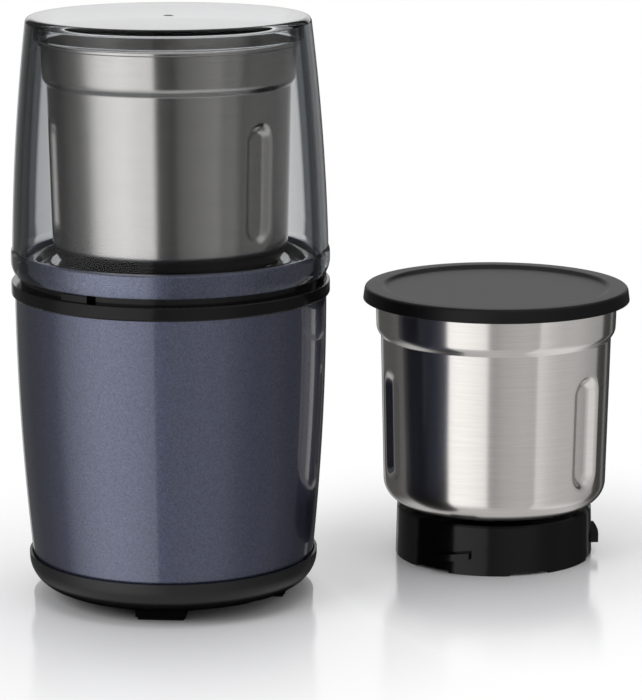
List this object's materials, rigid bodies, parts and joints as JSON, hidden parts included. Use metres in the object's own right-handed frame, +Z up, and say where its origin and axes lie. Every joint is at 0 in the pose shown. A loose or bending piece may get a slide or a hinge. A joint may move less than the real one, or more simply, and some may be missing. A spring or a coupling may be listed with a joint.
{
  "type": "electric spice grinder",
  "caption": "Spice grinder: round motor base, clear press-down dome over a steel blade bowl, and a second bowl with a storage cover.",
  "frame": {"origin": "middle of the footprint of the grinder and the second bowl together, on the surface they stand on", "axes": "+Z up, +X to the user's right from the grinder towards the second bowl's side, +Y away from the user, towards the cord's outlet"},
  "size_m": [0.2498, 0.1888, 0.2354],
  "materials": {
    "black_abs": "moulded ABS, satin black",
    "black_abs_gloss": "moulded ABS, gloss black",
    "blue_paint": "metallic blue-grey lacquer on sheet steel, fine flake",
    "blue_band": "ABS ring with the same metallic blue-grey lacquer",
    "clear_lid": "clear polycarbonate-like plastic, polished",
    "steel_bowl": "stainless sheet, brushed round the bowl",
    "steel_blade": "stainless, ground edge",
    "steel_plain": "plain steel",
    "rubber_black": "black rubber",
    "rubber_white": "white silicone",
    "nylon_white": "natural nylon",
    "nylon_black": "black nylon",
    "lamination": "stack of electrical steel",
    "copper": "enamelled copper wire",
    "copper_bars": "bare copper bars",
    "bush_bronze": "sintered bronze",
    "carbon": "pressed carbon",
    "bracket_alloy": "die-cast",
    "capacitor_case": "yellow box",
    "lead_sheath": "insulated wire"
  },
  "bodies": {
    "motor_base": {"base_tray": "black_abs", "foot_pads": "rubber_black", "cord_gland": "rubber_black", "cover_screws": "steel_plain", "housing_shell": "blue_paint", "collar_ring": "black_abs_gloss", "deck_band": "blue_band", "deck": "black_abs_gloss", "deck_screws": "steel_plain", "spring_carrier": "nylon_black", "plunger_springs": "steel_plain", "switch_body": "nylon_black", "stator_core": "lamination", "field_coils": "copper", "lower_bracket": "bracket_alloy", "upper_bracket": "bracket_alloy", "lower_bearing": "bush_bronze", "upper_bearing": "bush_bronze", "motor_bolts": "steel_plain", "motor_nuts": "steel_plain", "damper_grommets": "rubber_black", "mount_screws": "steel_plain", "brush_holders": "bush_bronze", "carbon_brushes": "carbon", "capacitor": "capacitor_case", "terminal_block": "nylon_white", "internal_leads": "lead_sheath"},
    "lid_plungers": {"plungers": "nylon_black"},
    "dome": {"dome_lid": "clear_lid"},
    "switch_arm": {"switch_lever": "steel_plain"},
    "switch_plunger": {"switch_button": "nylon_white"},
    "rotor": {"rotor_shaft": "steel_plain", "armature_core": "lamination", "armature_winding": "copper", "commutator": "copper_bars", "cooling_fan": "nylon_black", "drive_coupling": "nylon_white"},
    "bowl": {"steel_cup": "steel_bowl", "bowl_skirt": "black_abs_gloss", "blade_bush": "bush_bronze", "bush_seal": "rubber_white", "bush_nut": "steel_plain"},
    "blade": {"blade_shaft": "steel_plain", "grind_blade": "steel_blade", "blade_cap_nut": "steel_blade", "blade_washer": "nylon_white", "driven_coupling": "nylon_white", "blade_circlip": "steel_plain"},
    "spare_bowl": {"spare_steel_cup": "steel_bowl", "spare_bowl_skirt": "black_abs_gloss", "spare_blade_bush": "bush_bronze", "spare_bush_seal": "rubber_white", "spare_bush_nut": "steel_plain"},
    "spare_blade": {"spare_blade_shaft": "steel_plain", "spare_grind_blade": "steel_blade", "spare_blade_cap_nut": "steel_blade", "spare_blade_washer": "nylon_white", "spare_driven_coupling": "nylon_white", "spare_blade_circlip": "steel_plain"},
    "cover": {"storage_cover": "black_abs_gloss"}
  },
  "joints": [
    {"name": "lid_press", "type": "slide", "parent": "motor_base", "child": "lid_plungers", "axis": [0, 0, 1], "range_m": [-0.0026, 0], "stiffness_N_per_m": 800, "springref_m": 0.01, "deforming": ["plunger_springs"]},
    {"name": "lid_lift", "type": "slide", "parent": "lid_plungers", "child": "dome", "axis": [0, 0, 1], "range_m": [0, 0.14]},
    {"name": "switch_arm_tilt", "type": "hinge", "parent": "motor_base", "child": "switch_arm", "pos_m": [-0.07633, -0.08064, 0.112], "axis": [-0.5038, -0.8638, 0], "range_deg": [0, 9.1]},
    {"name": "switch_plunger_slide", "type": "slide", "parent": "motor_base", "child": "switch_plunger", "axis": [0, 0, 1], "range_m": [-0.0013, 0]},
    {"name": "motor_spin", "type": "hinge", "parent": "motor_base", "child": "rotor", "pos_m": [-0.06095, -0.03045, 0.1], "axis": [0, 0, 1], "continuous": true},
    {"name": "blade_spin", "type": "hinge", "parent": "motor_base", "child": "blade", "pos_m": [-0.06095, -0.03045, 0.13], "axis": [0, 0, 1], "continuous": true},
    {"name": "bowl_twist", "type": "hinge", "parent": "motor_base", "child": "bowl", "pos_m": [-0.06095, -0.03045, 0.12], "axis": [0, 0, 1], "range_deg": [0, 30]},
    {"name": "spare_bowl_lift", "type": "slide", "parent": "motor_base", "child": "spare_bowl", "axis": [0, 0, 1], "range_m": [0, 0.15]},
    {"name": "spare_blade_spin", "type": "hinge", "parent": "spare_bowl", "child": "spare_blade", "pos_m": [0.06875, 0.03825, 0.02], "axis": [0, 0, 1], "continuous": true},
    {"name": "cover_lift", "type": "slide", "parent": "spare_bowl", "child": "cover", "axis": [0, 0, 1], "range_m": [0, 0.1]}
  ],
  "couplings": [
    {"joint": "switch_arm_tilt", "follows": "lid_press", "rad_per_m": -60.4},
    {"joint": "switch_plunger_slide", "follows": "lid_press", "ratio": 0.4923},
    {"joint": "blade_spin", "follows": "motor_spin", "ratio": 1}
  ]
}
